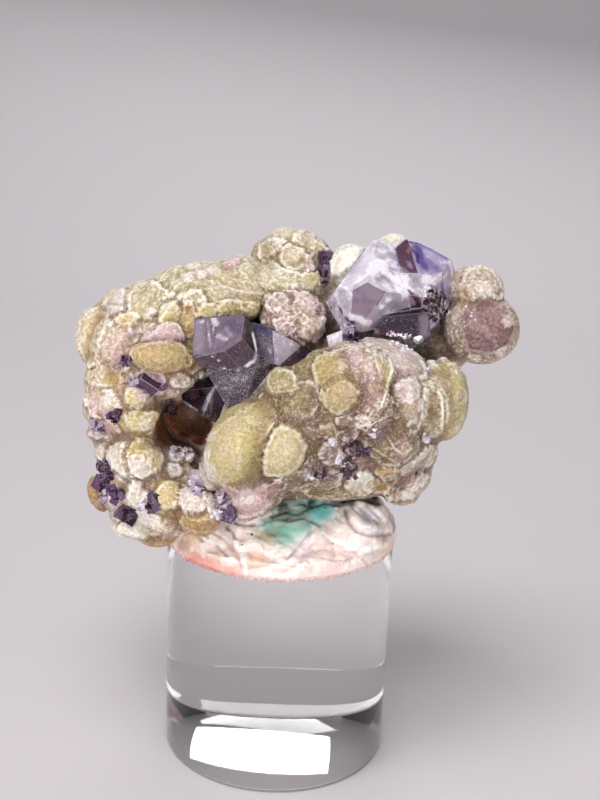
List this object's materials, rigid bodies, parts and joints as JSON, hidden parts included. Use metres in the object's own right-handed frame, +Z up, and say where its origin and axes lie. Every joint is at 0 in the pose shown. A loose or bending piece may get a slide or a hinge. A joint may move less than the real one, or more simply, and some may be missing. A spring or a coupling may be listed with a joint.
{
  "type": "botryoidal fluorite specimen",
  "caption": "Mineral specimen: pale yellow-green botryoidal crust with purple cubic crystals, set in putty on a clear round display cylinder.",
  "frame": {"origin": "centre of the cylinder's foot", "axes": "+Z up along the cylinder, the display side faces -Y, +X to the viewer's right"},
  "size_m": [0.0571, 0.0414, 0.0689],
  "materials": {
    "clear_acrylic": "clear, polished",
    "putty": "white kneaded putty, teal and tan streaks",
    "crust": "yellow-green to mauve, sugary botryoidal skin",
    "pale_purple_crystal": "clear to frosted pale purple crystal",
    "dark_purple_crystal": "glassy blue-purple crystal, dusty below",
    "small_purple_crystal": "glassy dark purple crystal"
  },
  "bodies": {
    "root": {"acrylic_stand": "clear_acrylic", "mounting_putty": "putty", "botryoidal_mass": "crust", "upper_purple_crystals": "pale_purple_crystal", "middle_purple_crystals": "dark_purple_crystal", "small_crystal_left": "small_purple_crystal", "small_crystal_left_high": "small_purple_crystal", "small_crystal_far_left": "small_purple_crystal", "small_crystal_left_edge": "small_purple_crystal", "small_crystal_low_edge": "small_purple_crystal", "small_crystals_low_left": "small_purple_crystal", "small_crystals_foot": "small_purple_crystal", "small_crystals_low_middle": "small_purple_crystal", "small_crystals_under_pocket": "small_purple_crystal", "small_crystals_low_right": "small_purple_crystal"}
  },
  "joints": []
}
